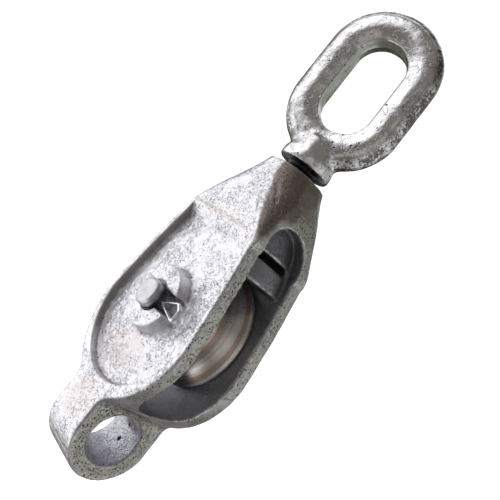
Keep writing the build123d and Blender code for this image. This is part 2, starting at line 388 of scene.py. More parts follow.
@dataclass(frozen=True)
class CoatedMetal:
    """Cast, forged, turned or drawn metal under a thin coat of zinc or oil.

    Hot-dip zinc reads as a pale metal with a faint blue-grey tint, mottled where it ran thick
    or thin, crinkled over sand, with dark pits where sand or scale kept it off, and brown
    where old grease lies on it. Both coats are shaded as metal, with the default IOR. Their
    creases and crevices are darkened with painted shade, and their edges get a painted highlight.
    """

    name: str
    bright: str = "#EDEDF2"
    dull: str = "#CFCFD6"
    # The crease colour darkens the crinkles' creases as painted shade; on turned metal it tints the rings.
    crease: str = "#807F87"
    pit: str = "#1B1A17"
    # Painted shade in concave crevices.
    crevice_shade: str = "#77736F"
    # Painted highlight on convex edges.
    glint: str = "#F7F7FA"
    mottle_mm: float = 12.0
    grain_mm: float = 1.0
    crinkle_mm: float = 2.0
    drift_mm: float = 8.0
    thick: float = 0.5
    fleck: float = 0.35
    crinkle: float = 0.6
    crevice: float = 0.7
    edge: float = 0.8
    crinkle_depth_mm: float = 0.50
    grain_depth_mm: float = 0.28
    pit_mm: float = 1.5
    pit_share: float = 0.04
    side_pits: float = 0.0
    pit_depth_mm: float = 0.35
    rough_low: float = 0.30
    rough_high: float = 0.46
    metallic: float = 0.92
    marks: tuple[Mark, ...] = ()
    patches: tuple[Patch, ...] = ()

    def build(self, axle_z: float) -> bpy.types.Material:
        """Make the material.

        Args:
            axle_z: The height of the sheave's middle, in metres.

        Returns:
            The node material.
        """
        material = bpy.data.materials.new(self.name)
        material.use_nodes = True
        tree = material.node_tree
        shader = tree.nodes["Principled BSDF"]
        ground = self.ground(tree, axle_z)
        lines = self.lines(ground)
        pits = self.pits(ground)
        tree.links.new(self.colour(ground, lines, pits), shader.inputs["Base Color"])
        limits = {"Value": ground.grain, "To Min": self.rough_low, "To Max": self.rough_high} | SHINE
        rough = add_node(tree, RANGE, {}, limits).outputs[0]
        tree.links.new(rough, shader.inputs["Roughness"])
        tree.links.new(self.relief(ground, lines, pits), shader.inputs["Normal"])
        shader.inputs["Metallic"].default_value = self.metallic
        return material

    def ground(self, tree: bpy.types.NodeTree, axle_z: float) -> Ground:
        """Lay the coordinates in millimetres about the sheave's middle, and the two clouds.

        Args:
            tree: The material's node tree.
            axle_z: The height of the sheave's middle, in metres.

        Returns:
            The shared coordinates and clouds.
        """
        coords = add_node(tree, "ShaderNodeTexCoord", {}, {})
        sockets = {0: coords.outputs["Object"], 1: (1 / MM,) * 3, 2: (0, 0, -axle_z / MM)}
        place = add_node(tree, VECTOR, TIMES_PLUS, sockets).outputs[0]
        coarse = {"Vector": place, "Scale": 1 / self.mottle_mm} | MOTTLE_NOISE
        fine = {"Vector": place, "Scale": 1 / self.grain_mm} | GRAIN_NOISE
        return Ground(
            tree,
            place,
            add_node(tree, NOISE, {}, coarse).outputs["Fac"],
            add_node(tree, NOISE, {}, fine).outputs["Fac"],
        )

    def marked(self, ground: Ground, name: str, broken: float = 0.0) -> Socket:
        """What the piece's mesh holds under a name, broken up by the grain if asked.

        Args:
            ground: The shared coordinates and clouds.
            name: The name of the mesh attribute.
            broken: How much of it the grain takes away, from 0 to 1.

        Returns:
            The share of the surface, from 0 to 1.
        """
        share = add_node(ground.tree, "ShaderNodeAttribute", {"attribute_name": name}, {}).outputs["Fac"]
        if broken == 0:
            return share
        both = add_node(ground.tree, MATH, {"operation": "ADD"}, {0: ground.grain, 1: ground.mottle})
        limits = {"Value": both.outputs[0], "To Min": 1 - broken} | BREAKS
        left = add_node(ground.tree, RANGE, SOFT, limits).outputs[0]
        return add_node(ground.tree, MATH, TIMES, {0: share, 1: left}).outputs[0]

    def lines(self, ground: Ground) -> Socket:
        """Draw thin wandering creases, as zinc sets over sand.

        Args:
            ground: The shared coordinates and clouds.

        Returns:
            The creases' share of the surface, from 0 to 1.
        """
        sockets = {"Vector": ground.place, "Scale": 1 / self.crinkle_mm} | CREASE_NOISE
        wander = add_node(ground.tree, NOISE, {}, sockets).outputs["Fac"]
        sockets = {0: wander, 1: NOISE_MIDDLE}
        away = add_node(ground.tree, MATH, {"operation": "SUBTRACT"}, sockets).outputs[0]
        size = add_node(ground.tree, MATH, {"operation": "ABSOLUTE"}, {0: away}).outputs[0]
        thin = add_node(ground.tree, RANGE, SOFT, {"Value": size} | CREASE_WIDTH).outputs[0]
        kept = add_node(ground.tree, RANGE, SOFT, {"Value": ground.mottle} | CREASE_DRIFTS).outputs[0]
        return add_node(ground.tree, MATH, TIMES, {0: thin, 1: kept}).outputs[0]

    def pits(self, ground: Ground) -> Socket:
        """Scatter small dark holes in drifts, with more of them on the sides.

        Args:
            ground: The shared coordinates and clouds.

        Returns:
            The pits' share of the surface, from 0 to 1.
        """
        tree = ground.tree
        sockets = {"Vector": ground.place, "Scale": 1 / self.pit_mm}
        cells = add_node(tree, "ShaderNodeTexVoronoi", {}, sockets)
        hole = add_node(tree, RANGE, SOFT, {"Value": cells.outputs["Distance"]} | PIT_RIM).outputs[0]
        pick = add_node(tree, "ShaderNodeSeparateColor", {}, {0: cells.outputs["Color"]}).outputs[0]
        sockets = {"Vector": ground.place, "Scale": 1 / self.drift_mm} | DRIFT_NOISE
        drift = add_node(tree, NOISE, {}, sockets).outputs["Fac"]
        drift = add_node(tree, RANGE, {}, {"Value": drift} | PIT_DRIFTS).outputs[0]
        sockets = {0: self.marked(ground, "side"), 1: self.side_pits, 2: self.pit_share}
        level = add_node(tree, MATH, TIMES_PLUS, sockets).outputs[0]
        level = add_node(tree, MATH, TIMES, {0: level, 1: drift}).outputs[0]
        chosen = add_node(tree, MATH, {"operation": "LESS_THAN"}, {0: pick, 1: level}).outputs[0]
        return add_node(tree, MATH, TIMES, {0: hole, 1: chosen}).outputs[0]

    def colour(self, ground: Ground, lines: Socket, pits: Socket) -> Socket:
        """Lay creases, marks, stains, crevices, edges and pits over the coat's colour. Creases and crevices
        get painted shade, edges a painted highlight, and several marks and stains are painted shade.

        Args:
            ground: The shared coordinates and clouds.
            lines: The creases' share of the surface.
            pits: The pits' share of the surface.

        Returns:
            The colour.
        """
        tree = ground.tree
        thick = add_node(tree, RANGE, SOFT, {"Value": ground.mottle} | THICK_ZINC).outputs[0]
        fleck = add_node(tree, RANGE, SOFT, {"Value": ground.grain} | FLECKS).outputs[0]
        layers = [
            (thick, self.thick, self.dull),
            (fleck, self.fleck, self.dull),
            # Painted shade in the creases; on turned metal the crease colour tints the rings.
            (lines, self.crinkle, self.crease),
        ]
        for mark in self.marks:
            layers.append((self.marked(ground, mark.name, mark.broken), mark.strength, mark.colour))
        layers += [(self.patch(ground, patch), patch.strength, patch.colour) for patch in self.patches]
        layers += [
            # Painted shade in concave crevices, and a painted highlight on convex edges.
            (self.marked(ground, "crevice"), self.crevice, self.crevice_shade),
            (self.marked(ground, "edge"), self.edge, self.glint),
            (pits, 1.0, self.pit),
        ]
        colour: Colour | Socket = linear(self.bright)
        for share, most, over in layers:
            share = add_node(tree, MATH, TIMES, {0: share, 1: most}).outputs[0]
            sockets = {SHARE: share, UNDER: colour, OVER: linear(over)}
            colour = add_node(tree, MIX, COLOURS, sockets).outputs[MIXED]
        return colour

    def patch(self, ground: Ground, patch: Patch) -> Socket:
        """Lay a stain or a patch of painted shade that fades out over its reach and breaks up with the
        mottle.

        Args:
            ground: The shared coordinates and clouds.
            patch: The stain or painted shade.

        Returns:
            Its share of the surface, from 0 to 1.
        """
        tree = ground.tree
        away = add_node(tree, VECTOR, {"operation": "SUBTRACT"}, {0: ground.place, 1: patch.place})
        ratio = add_node(tree, VECTOR, {"operation": "DIVIDE"}, {0: away.outputs[0], 1: patch.reach})
        far = add_node(tree, VECTOR, {"operation": "LENGTH"}, {0: ratio.outputs[0]}).outputs["Value"]
        sockets = {0: ground.mottle, 1: patch.broken, 2: far}
        ragged = add_node(tree, MATH, TIMES_PLUS, sockets).outputs[0]
        rim = PATCH_RIM + patch.broken / 2
        limits = {"Value": ragged, "From Min": rim + PATCH_FADE, "From Max": rim - PATCH_FADE}
        return add_node(tree, RANGE, SOFT, limits).outputs[0]

    def relief(self, ground: Ground, lines: Socket, pits: Socket) -> Socket:
        """Raise bump for the grain, with the creases and the pits sunk in it.

        Args:
            ground: The shared coordinates and clouds.
            lines: The creases' share of the surface.
            pits: The pits' share of the surface.

        Returns:
            The bent normal.
        """
        depth = {"Height": ground.grain, "Distance": self.grain_depth_mm * MM}
        normal = add_node(ground.tree, BUMP, {}, depth).outputs[0]
        for height, distance in ((lines, self.crinkle_depth_mm), (pits, self.pit_depth_mm)):
            sunk = {"Height": height, "Distance": distance * MM, "Normal": normal}
            normal = add_node(ground.tree, BUMP, {"invert": True}, sunk).outputs[0]
        return normal


@dataclass(frozen=True)
class TurnedZinc(CoatedMetal):
    """Zinc over a surface that was turned about the axle: fine rings run round it.

    The eye reads grey, brown and pale bands that follow the tool, and a soft satin shine.
    """

    ring_mm: float = 1.3
    band_mm: float = 5.0
    wander: float = 0.04
    ring_depth_mm: float = 0.03
    band: str = "#8C7464"
    band_share: float = 0.7

    def lines(self, ground: Ground) -> Socket:
        """Rings about the axle, instead of creases."""
        return self.rings(ground, self.ring_mm)

    def rings(self, ground: Ground, size_mm: float) -> Socket:
        """Draw random rings of a real width, that follow the distance from the axle.

        Args:
            ground: The shared coordinates and clouds.
            size_mm: The rings' width, in millimetres.

        Returns:
            Noise that hardly changes along a ring.
        """
        tree = ground.tree
        flat = add_node(tree, VECTOR, {"operation": "MULTIPLY"}, {0: ground.place, 1: (1, 0, 1)}).outputs[0]
        radius = add_node(tree, VECTOR, {"operation": "LENGTH"}, {0: flat}).outputs["Value"]
        along = add_node(tree, "ShaderNodeSeparateXYZ", {}, {0: ground.place}).outputs["Y"]
        ring = add_node(tree, "ShaderNodeCombineXYZ", {}, {0: radius, 1: along}).outputs[0]
        sockets = {0: ground.place, 1: (self.wander, 0, self.wander), 2: ring}
        ring = add_node(tree, VECTOR, TIMES_PLUS, sockets).outputs[0]
        sockets = {"Vector": ring, "Scale": 1 / size_mm} | RING_NOISE
        return add_node(tree, NOISE, {}, sockets).outputs["Fac"]

    def colour(self, ground: Ground, lines: Socket, pits: Socket) -> Socket:
        """Lay wide brown bands over the coat's colour.

        Args:
            ground: The shared coordinates and clouds.
            lines: The rings.
            pits: The pits' share of the surface.

        Returns:
            The colour.
        """
        colour = super().colour(ground, lines, pits)
        limits = {"Value": self.rings(ground, self.band_mm), "To Max": self.band_share} | BANDS
        share = add_node(ground.tree, RANGE, SOFT, limits).outputs[0]
        sockets = {SHARE: share, UNDER: colour, OVER: linear(self.band)}
        return add_node(ground.tree, MIX, COLOURS, sockets).outputs[MIXED]

    def relief(self, ground: Ground, lines: Socket, pits: Socket) -> Socket:
        """Raise bump for the tool's rings, with the pits sunk in it.

        Args:
            ground: The shared coordinates and clouds.
            lines: The rings.
            pits: The pits' share of the surface.

        Returns:
            The bent normal.
        """
        rings = {"Height": lines, "Distance": self.ring_depth_mm * MM}
        normal = add_node(ground.tree, BUMP, {}, rings).outputs[0]
        sunk = {"Height": pits, "Distance": self.pit_depth_mm * MM, "Normal": normal}
        return add_node(ground.tree, BUMP, {"invert": True}, sunk).outputs[0]


# Colours laid over the coats: stains on them, what shows through them, and painted shade.
GREASE = "#6E6259"
TAN = "#B5A798"
ROSE = "#D3CACA"
# Darker olive on the narrow sides: partly painted shade.
OLIVE = "#A5A5A0"
# Blue-grey painted shade between the cheeks.
SLATE = "#85878F"
SHADE = "#6F6F73"
# Painted shade along the rims' rounded edges.
RAG = "#2F2B28"
# Painted shade in the lug's bore, with a lavender tint.
LAVENDER = "#ABABB5"
WALL = "#9B9793"
# Black for the blow holes, and painted shade in dark gaps.
HOLE_AND_SHADE_BLACK = "#070707"
# Dark scale flecks, which also paint shade on the eye's outer side.
SCALE_AND_SHADE = "#4A4642"
RING_INNER_GREY = "#B4B8B2"
# Painted shade where the pin stands in the dark of the boss.
DEEP_GAP = "#29292B"

# Iron cast in sand and dipped in zinc: pale and crinkled on the broad faces, duller and full
# of pits on the narrow sides, blue-grey between the cheeks, brown on the head's greasy corners.
# The narrow sides' darker olive is partly painted shade; painted shade also darkens the faces
# turned towards -X, the bore, the hollow between the cheeks and the rims' rounded edges.
SAND_CAST = CoatedMetal(
    name="galvanised_sand_cast_iron",
    pit_mm=1.4,
    side_pits=0.5,
    marks=(
        # Darker olive on the narrow sides, partly painted shade; the pits on them are real.
        Mark("side", OLIVE, 0.8),
        Mark("wall", WALL, 0.85),
        # Painted shade on faces turned towards -X.
        Mark("lee", SHADE, 0.9),
        # Painted shade in the lug's bore.
        Mark("bore", LAVENDER, 0.8),
        # Blue-grey painted shade between the cheeks.
        Mark("hollow", SLATE, 0.9),
        Mark("corner", GREASE, 0.92),
        # Painted shade along the rims' rounded edges.
        Mark("rag", RAG, 1.0, 1.0),
    ),
    patches=(
        # A tan line above the panel, and a pink tinge low on the panel and on the lug.
        Patch((-3.0, -25.0, 58.6), (34.0, 5.0, 1.7), TAN, 0.5, 2.2),
        Patch((-4.0, -20.0, -33.0), (20.0, 4.0, 13.0), ROSE, 0.6, 2.0),
        Patch((0.5, -25.0, -64.5), (13.0, 9.0, 13.0), ROSE, 0.7, 2.0),
        # Grease beside the boss and in the lug's bore, and two blow holes in that bore.
        Patch((20.0, -24.5, 2.0), (4.0, 4.0, 6.0), GREASE, 0.7),
        Patch((5.0, 13.5, -67.5), (8.0, 5.0, 3.5), GREASE, 0.7),
        Patch((0.1, 15.0, -79.5), (1.7, 2.5, 1.7), HOLE_AND_SHADE_BLACK, 1.0, 0.2),
        Patch((1.2, 14.0, -69.5), (1.5, 2.5, 1.5), HOLE_AND_SHADE_BLACK, 1.0, 0.2),
        # Painted shade: black in the gap beside the pin's end, and on the top of the head under the collar.
        Patch((8.8, -24.5, 1.4), (4.6, 4.6, 5.0), HOLE_AND_SHADE_BLACK, 1.0, 0.3),
        Patch((0.0, 0.0, 105.4), (26.0, 26.0, 1.8), HOLE_AND_SHADE_BLACK, 1.0, 0.1),
    ),
)

# Steel forged between dies and dipped in zinc: smooth, shiny and softly mottled, greyer on the
# ring's inner wall, and flecked with dark scale round its outer side, which also paints shade there.
FORGED = CoatedMetal(
    name="galvanised_drop_forged_steel",
    bright="#E9E9ED",
    dull="#B4B1B0",
    mottle_mm=9.0,
    grain_mm=1.6,
    grain_depth_mm=0.045,
    fleck=0.3,
    crinkle=0.45,
    crinkle_mm=4.5,
    crinkle_depth_mm=0.08,
    pit_mm=2.2,
    pit_share=0.07,
    pit_depth_mm=0.2,
    rough_low=0.15,
    rough_high=0.27,
    marks=(Mark("outer", SCALE_AND_SHADE, 0.88, 0.85), Mark("inner", RING_INNER_GREY, 0.7)),
    # Painted shade: the shank and the collar's foot, black in the gap above the head.
    patches=(Patch((0.0, 0.0, 105.5), (26.0, 26.0, 4.2), HOLE_AND_SHADE_BLACK, 1.0, 0.1),),
)

# Steel bar turned to size and dipped in zinc: an even grey with faint rings and a satin shine.
PIN_ZINC = TurnedZinc(
    name="galvanised_turned_steel",
    bright="#D2D2D5",
    dull="#B6B6BA",
    mottle_mm=6.0,
    crinkle=0.5,
    ring_depth_mm=0.06,
    pit_share=0.02,
    band_share=0.15,
    rough_low=0.28,
    rough_high=0.42,
    # Painted shade on the side of its end that stands in the dark of the boss.
    patches=(Patch((7.0, -27.5, -1.0), (5.0, 3.0, 8.0), DEEP_GAP, 0.85, 0.5),),
)

# Drawn wire plated with zinc in a bath: thin and even, so bright, with no creases and no pits.
WIRE_ZINC = CoatedMetal(
    name="bright_zinc_plated_wire",
    mottle_mm=3.0,
    grain_depth_mm=0.02,
    crinkle=0.0,
    crinkle_depth_mm=0.01,
    pit_share=0.0,
    rough_low=0.2,
    rough_high=0.3,
)

# Black steel under oil: nearly black and half dull, since no zinc covers it.
OILED_STEEL = CoatedMetal(
    name="oiled_black_steel",
    bright="#3B3B3D",
    dull="#262627",
    glint="#55555A",
    crinkle=0.0,
    crinkle_depth_mm=0.02,
    grain_depth_mm=0.05,
    rough_low=0.35,
    rough_high=0.5,
)

# Iron cast, turned on a lathe and dipped in zinc: pale satin rings under warm brown bands.
TURNED_IRON = TurnedZinc(
    name="galvanised_turned_iron",
    bright="#FAF9F6",
    dull="#E6E4DF",
    crease="#7C736C",
    band="#A88C7C",
    mottle_mm=9.0,
    crinkle=0.5,
    pit_share=0.015,
    rough_low=0.26,
    rough_high=0.38,
)


@dataclass
class RoughPiece:
    """A cast, forged or plain piece: the CAD form with an even skin, rounded edges and relief.

    A pair of numbers for a ramp is where it starts and how wide it is.
    """

    nodes: tuple[str, ...]
    name: str
    body: Body
    slot: Slot
    finish: CoatedMetal
    square_mm: float
    rounding: int
    lumps_mm: float
    lump_depth_mm: float
    seed: float
    lump_middle: float = 0.5
    lump_gain: float = 0.6
    edge_reach: int = 6
    edge_ramp_mm: tuple[float, float] = (0.10, 0.35)
    crevice_ramp_mm: tuple[float, float] = (0.06, 0.24)

    def make(self, frame: dict, axle_z: float) -> bpy.types.Object:
        """Build the piece and dress it.

        Args:
            frame: The loaded frame.
            axle_z: The height of the sheave's middle, in metres.

        Returns:
            The piece.
        """
        piece = cad_copy(frame, self.nodes, self.name)
        even_skin(piece, self.square_mm)
        skin = Skin.of(piece)
        skin.points = skin.averaged(skin.points, self.rounding)
        skin.write(piece)
        skin = Skin.of(piece)
        bend = skin.curvature(self.edge_reach)
        skin.points -= skin.normals * (self.relief(skin) * MM)[:, None]
        skin.write(piece)
        marks = self.marks(skin, axle_z)
        for name, share in marks.items():
            store(piece, name, skin.averaged(share, 1))
        # Convex edges get a painted highlight, and concave crevices painted shade.
        store(piece, "edge", ramp(bend, *self.edge_ramp_mm) * (1 - marks.get("rag", 0)))
        store(piece, "crevice", ramp(-bend, *self.crevice_ramp_mm))
        piece.data.materials.append(self.finish.build(axle_z))
        return seated(piece, self.body, self.nodes)

    def relief(self, skin: Skin) -> np.ndarray:
        """How deep each point is sunk below the CAD surface, in millimetres."""
        lumps = cloud(skin.points, self.lumps_mm, self.seed)
        return self.lump_depth_mm * np.clip(self.lump_middle + self.lump_gain * lumps, 0, 1)

    def marks(self, skin: Skin, axle_z: float) -> dict[str, np.ndarray]:
        """Places that the finish colours by name, each with a share from 0 to 1 for every point."""
        return {}


@dataclass
class Casting(RoughPiece):
    """The cheeks, head, core and lug in one. The sunk panels are the roughest, as sand left them.

    Heights are in millimetres above the axle. A turn is how far a face looks along an axis:
    0 for not at all and 1 for straight along it.
    """

    nodes: tuple[str, ...] = ("head", "front_cheek", "back_cheek", "becket_lug")
    name: str = "cast_shell"
    body: Body = Body.BLOCK
    slot: Slot = Slot.CASTING
    finish: CoatedMetal = SAND_CAST
    square_mm: float = 0.95
    rounding: int = 2
    lumps_mm: float = 8.0
    lump_depth_mm: float = 0.22
    seed: float = 3.1

    panel_face_mm: float = 20.0
    panel_spread_mm: float = 0.7
    panel_turn: float = 0.7
    panel_lumps_mm: float = 3.4
    panel_depth_mm: float = 0.65
    panel_middle: float = 0.45
    panel_gain: float = 0.8
    panel_shift: float = 9.0

    hollow_half_mm: float = 16.6
    hollow_low_mm: float = -54.0
    hollow_high_mm: float = 74.0
    hollow_inset_mm: float = 2.0
    row_mm: float = 2.0
    row_count: int = 200
    rows_from_mm: float = -120.0

    bore_height_mm: float = -75.9
    bore_reach_mm: float = 16.2
    bore_turn: float = 0.6
    boss_reach_mm: float = 21.0
    boss_from_mm: float = 19.0

    shoulder_mm: float = 51.0
    shoulder_fade_mm: float = 2.0
    grease_slant: float = 1.1
    grease_offset_mm: float = 8.0
    grease_lumps_mm: float = 9.0
    grease_wander_mm: float = 7.0
    grease_fade_mm: float = 9.0
    grease_shift: float = 4.0
    grease_ramp: tuple[float, float] = (0.12, 0.10)

    side_ramp: tuple[float, float] = (0.62, 0.2)
    spot_mm: tuple[float, float] = (84.0, 8.0)
    spot_reach_mm: float = 14.0
    spot_gain: float = 1.6
    lug_ring_mm: float = 5.0
    lug_gain: float = 0.9
    lee_ramp: tuple[float, float] = (0.25, 0.3)
    lee_face: float = 0.2
    rim_turn: float = 0.62
    rim_spread: float = 0.25
    rim_face: float = 0.3

    def marks(self, skin: Skin, axle_z: float) -> dict[str, np.ndarray]:
        """Find the sides, inner walls, lee faces, bore, hollow, greasy corners and ragged rims. The lee
        faces, bore, hollow and rims get painted shade, and the sides partly.

        Args:
            skin: The piece's skin.
            axle_z: The height of the sheave's middle, in metres.

        Returns:
            Under the name of each mark, a share from 0 to 1 for every point.
        """
        local = (skin.points - np.array([0, 0, axle_z])) / MM
        x, y, z = local.T
        facing = skin.normals[:, 0]
        across, out = np.abs(facing), np.abs(skin.normals[:, 1])
        hollow = self.hollow(local)
        from_bore = np.hypot(y, z - self.bore_height_mm)
        bore = ((from_bore < self.bore_reach_mm) & (across < self.bore_turn)).astype(float)
        boss = (np.hypot(x, z) < self.boss_reach_mm) & (np.abs(y) > self.boss_from_mm)
        bare = (1 - hollow) * ~boss
        corner = self.grease(skin, local) * (1 - hollow)
        turned = ramp(across, *self.side_ramp) * (1 - bore) * bare
        outward = x * facing > 0
        from_spot = np.hypot(z - self.spot_mm[0], y * np.sign(x) - self.spot_mm[1])
        drifts = 1 + self.spot_gain * (1 - ramp(from_spot, 0, self.spot_reach_mm))
        drifts += self.lug_gain * (from_bore < self.bore_reach_mm + self.lug_ring_mm)
        rim = (1 - ramp(np.abs(across - self.rim_turn), 0, self.rim_spread)) * (out > self.rim_face)
        return {
            "side": turned * outward * (1 - corner) * drifts,
            "wall": turned * ~outward,
            "lee": ramp(-facing, *self.lee_ramp) * (out > self.lee_face) * bare,
            "bore": bore,
            "hollow": hollow,
            "corner": corner,
            "rag": rim * bare * outward * (z < self.shoulder_mm),
        }

    def hollow(self, local: np.ndarray) -> np.ndarray:
        """Find what lies between the cheeks and in the arch, short of the narrow sides.

        Args:
            local: The points in millimetres about the sheave's middle.

        Returns:
            One for a point inside and zero for another.
        """
        wide, deep, z = np.abs(local[:, 0]), np.abs(local[:, 1]), local[:, 2]
        rows = np.clip(((z - self.rows_from_mm) / self.row_mm).astype(int), 0, self.row_count - 1)
        widest = np.zeros(self.row_count)
        np.maximum.at(widest, rows, wide)
        level = (z > self.hollow_low_mm) & (z < self.hollow_high_mm)
        inset = wide < widest[rows] - self.hollow_inset_mm
        return (level & inset & (deep < self.hollow_half_mm)).astype(float)

    def grease(self, skin: Skin, local: np.ndarray) -> np.ndarray:
        """Find the greasy corners of the head, above a ragged slanting line.

        Args:
            skin: The piece's skin.
            local: Its points in millimetres about the sheave's middle.

        Returns:
            A share from 0 to 1 for every point.
        """
        x, y, z = local.T
        slant = np.sign(x) * y + self.hollow_half_mm + self.grease_offset_mm
        line = self.shoulder_mm + self.grease_slant * slant
        high = np.flatnonzero(z > self.shoulder_mm)
        lumps = cloud(skin.points[high], self.grease_lumps_mm, self.seed + self.grease_shift)
        line[high] += self.grease_wander_mm * lumps
        share = ramp(np.abs(skin.normals[:, 0]), *self.grease_ramp) * ramp(z, line, self.grease_fade_mm)
        return share * ramp(z, self.shoulder_mm, self.shoulder_fade_mm)

    def relief(self, skin: Skin) -> np.ndarray:
        """Sink the lumps of the casting, with coarser ones on the panels.

        Args:
            skin: The piece's skin.

        Returns:
            How deep each point is sunk, in millimetres.
        """
        base = super().relief(skin)
        from_face = np.abs(np.abs(skin.points[:, 1] / MM) - self.panel_face_mm)
        flat = np.abs(skin.normals[:, 1]) > self.panel_turn
        places = np.flatnonzero(flat & (from_face < self.panel_spread_mm))
        lumps = cloud(skin.points[places], self.panel_lumps_mm, self.seed + self.panel_shift)
        coarse = np.zeros(len(base))
        coarse[places] = np.clip(self.panel_middle + self.panel_gain * lumps, 0, 1)
        return base + self.panel_depth_mm * skin.averaged(coarse, 1)


@dataclass
class ForgedEye(RoughPiece):
    """The swivel eye. The dies met in a line round its outer side, which stands a little proud.

    Its sizes are in millimetres. The ring goes round an upright line, from ring_low_mm to
    ring_high_mm, and the middle of its bar lies bar_middle_mm away from that line.
    """

    nodes: tuple[str, ...] = ("swivel_eye",)
    name: str = "forged_eye"
    body: Body = Body.EYE
    slot: Slot = Slot.FORGING
    finish: CoatedMetal = FORGED
    square_mm: float = 0.7
    rounding: int = 12
    lumps_mm: float = 9.0
    lump_depth_mm: float = 0.24
    seed: float = 5.7

    turn_deg: float = 31.7
    ring_low_mm: float = -48.2
    ring_high_mm: float = -15.7
    seam_half_width_mm: float = 0.7
    seam_depth_mm: float = 0.22
    bar_middle_mm: float = 25.5
    bar_half_mm: float = 11.0
    crown_depth_mm: float = 2.0
    neck_half_mm: float = 20.0
    neck_fade_mm: float = 9.0
    neck_ramp_mm: tuple[float, float] = (14.0, 12.0)
    collar_ramp_mm: tuple[float, float] = (-42.0, 8.0)
    outer_ramp: tuple[float, float] = (0.25, 0.5)
    inner_ramp: tuple[float, float] = (0.6, 0.3)
    least_mm: float = 1.0

    def marks(self, skin: Skin, axle_z: float) -> dict[str, np.ndarray]:
        """Find the scaly outer side, which also gets painted shade, and the smooth inner wall of the ring.

        Args:
            skin: The piece's skin.
            axle_z: The height of the sheave's middle, which the ring doesn't need.

        Returns:
            Under the name of each mark, a share from 0 to 1 for every point.
        """
        wide, tall, _ = self.about_ring(skin.points)
        sine, cosine = self.turned()
        outward = (skin.normals @ np.array([cosine, sine, 0.0])) * wide + skin.normals[:, 2] * tall
        outward /= np.maximum(np.hypot(wide, tall), self.least_mm)
        return {"outer": ramp(outward, *self.outer_ramp), "inner": ramp(-outward, *self.inner_ramp)}

    def turned(self) -> tuple[float, float]:
        """The sine and cosine of the eye's turn about the upright axis."""
        turn = math.radians(self.turn_deg)
        return math.sin(turn), math.cos(turn)

    def about_ring(self, points: np.ndarray) -> tuple[np.ndarray, np.ndarray, np.ndarray]:
        """Place points about the straight line that the ring goes round.

        Args:
            points: The points, in metres.

        Returns:
            How far each lies across, above or below, and in front or behind, in millimetres.
        """
        sine, cosine = self.turned()
        local = points / MM
        tall = local[:, 2] - np.clip(local[:, 2], self.ring_low_mm, self.ring_high_mm)
        wide = local[:, 0] * cosine + local[:, 1] * sine
        return wide, tall, local[:, 1] * cosine - local[:, 0] * sine

    def relief(self, skin: Skin) -> np.ndarray:
        """Sink the forging's lumps, with the die line left standing and the ring's bar crowned.

        Args:
            skin: The piece's skin.

        Returns:
            How deep each point is sunk, in millimetres.
        """
        base = super().relief(skin)
        wide, tall, depth = self.about_ring(skin.points)
        away = (np.hypot(wide, tall) - self.bar_middle_mm) / self.bar_half_mm
        sine, cosine = self.turned()
        facing = np.abs(skin.normals @ np.array([-sine, cosine, 0.0]))
        beside = ramp(self.neck_half_mm - np.abs(wide), 0, self.neck_fade_mm)
        neck = ramp(-tall, *self.neck_ramp_mm) * beside
        crown = self.crown_depth_mm * np.clip(away, -1, 1) ** 2 * facing * np.where(away > 0, 1 - neck, 1)
        crown *= ramp(tall, *self.collar_ramp_mm)
        seam = np.exp(-((depth / self.seam_half_width_mm) ** 2))
        return base + self.seam_depth_mm * (1 - seam) + crown


@dataclass
class HeadedPin(RoughPiece):
    """The axle pin, turned from bar, with a head on the far cheek and a drilled free end."""

    nodes: tuple[str, ...] = ("axle_pin",)
    name: str = "headed_pin"
    body: Body = Body.BLOCK
    slot: Slot = Slot.PIN
    finish: CoatedMetal = PIN_ZINC
    square_mm: float = 0.4
    rounding: int = 2
    lumps_mm: float = 5.0
    lump_depth_mm: float = 0.10
    seed: float = 1.3


@dataclass
class LoopedWire(RoughPiece):
    """The split pin, one wire bent into a loop and two legs."""

    nodes: tuple[str, ...] = ("split_pin",)
    name: str = "looped_wire"
    body: Body = Body.BLOCK
    slot: Slot = Slot.WIRE
    finish: CoatedMetal = WIRE_ZINC
    square_mm: float = 0.2
    rounding: int = 1
    lumps_mm: float = 3.0
    lump_depth_mm: float = 0.02
    seed: float = 8.2


@dataclass
class RoundNut(RoughPiece):
    """The nut that holds the eye's shank in the head, and turns with it."""

    nodes: tuple[str, ...] = ("swivel_nut",)
    name: str = "round_nut"
    body: Body = Body.EYE
    slot: Slot = Slot.NUT
    finish: CoatedMetal = OILED_STEEL
    square_mm: float = 0.4
    rounding: int = 1
    lumps_mm: float = 5.0
    lump_depth_mm: float = 0.05
    seed: float = 2.2


